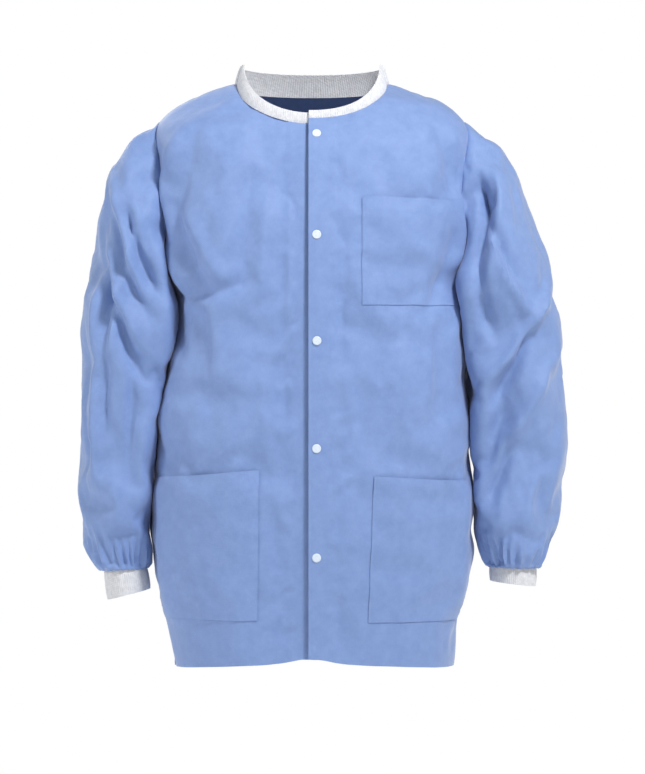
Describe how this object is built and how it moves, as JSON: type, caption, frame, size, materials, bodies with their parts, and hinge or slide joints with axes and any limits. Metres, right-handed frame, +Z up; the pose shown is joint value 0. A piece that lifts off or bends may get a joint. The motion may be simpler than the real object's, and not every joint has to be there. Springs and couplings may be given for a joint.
{
  "type": "disposable lab coat",
  "caption": "Hip-length light blue nonwoven lab coat with round rib-knit collar, long sleeves with rib-knit cuffs, snap front, a chest pocket and lower patch pockets",
  "frame": {"origin": "The point midway between the wearer's shoulders, at the height where the shoulder seams meet the neckline", "axes": "+Z is up along the back, -Y is the way the front faces, +X is the wearer's left"},
  "size_m": [0.616, 0.3054, 0.7602],
  "materials": {
    "coat_fabric": "matte",
    "rib_knit": "matte",
    "snap_plastic": "satin"
  },
  "bodies": {
    "root": {"back_panel": "coat_fabric", "front_shoulder_left": "coat_fabric", "front_shoulder_right": "coat_fabric", "sleeve_head_left": "coat_fabric", "sleeve_head_right": "coat_fabric", "collar_back": "rib_knit", "chest_pocket_outer": "coat_fabric", "lower_pocket_outer_left": "coat_fabric", "lower_pocket_outer_right": "coat_fabric"},
    "left_front": {"front_panel_left": "coat_fabric", "facing_left": "coat_fabric", "collar_front_left": "rib_knit", "chest_pocket_inner": "coat_fabric", "lower_pocket_inner_left": "coat_fabric", "snap_cap_1": "snap_plastic", "snap_cap_2": "snap_plastic", "snap_cap_3": "snap_plastic", "snap_cap_4": "snap_plastic", "snap_cap_5": "snap_plastic", "snap_socket_1": "snap_plastic", "snap_socket_2": "snap_plastic", "snap_socket_3": "snap_plastic", "snap_socket_4": "snap_plastic", "snap_socket_5": "snap_plastic"},
    "right_front": {"front_panel_right": "coat_fabric", "facing_right": "coat_fabric", "collar_front_right": "rib_knit", "lower_pocket_inner_right": "coat_fabric", "snap_stud_1": "snap_plastic", "snap_stud_2": "snap_plastic", "snap_stud_3": "snap_plastic", "snap_stud_4": "snap_plastic", "snap_stud_5": "snap_plastic", "snap_post_1": "snap_plastic", "snap_post_2": "snap_plastic", "snap_post_3": "snap_plastic", "snap_post_4": "snap_plastic", "snap_post_5": "snap_plastic"},
    "left_sleeve": {"sleeve_left": "coat_fabric", "cuff_left": "rib_knit"},
    "right_sleeve": {"sleeve_right": "coat_fabric", "cuff_right": "rib_knit"}
  },
  "joints": [
    {"name": "left_front_swing", "type": "hinge", "parent": "root", "child": "left_front", "pos_m": [0.097, -0.146, 0], "axis": [-0.0744, 0, 0.9972], "range_deg": [0, 75]},
    {"name": "right_front_swing", "type": "hinge", "parent": "root", "child": "right_front", "pos_m": [-0.097, -0.146, 0], "axis": [0.0744, 0, 0.9972], "range_deg": [-45, 0]},
    {"name": "left_sleeve_lift", "type": "hinge", "parent": "root", "child": "left_sleeve", "pos_m": [0.208, 0, -0.177], "axis": [0, -1, 0], "range_deg": [0, 60]},
    {"name": "right_sleeve_lift", "type": "hinge", "parent": "root", "child": "right_sleeve", "pos_m": [-0.208, 0, -0.177], "axis": [0, 1, 0], "range_deg": [0, 60]}
  ],
  "couplings": [
    {"joint": "right_front_swing", "follows": "left_front_swing", "ratio": -0.6}
  ]
}
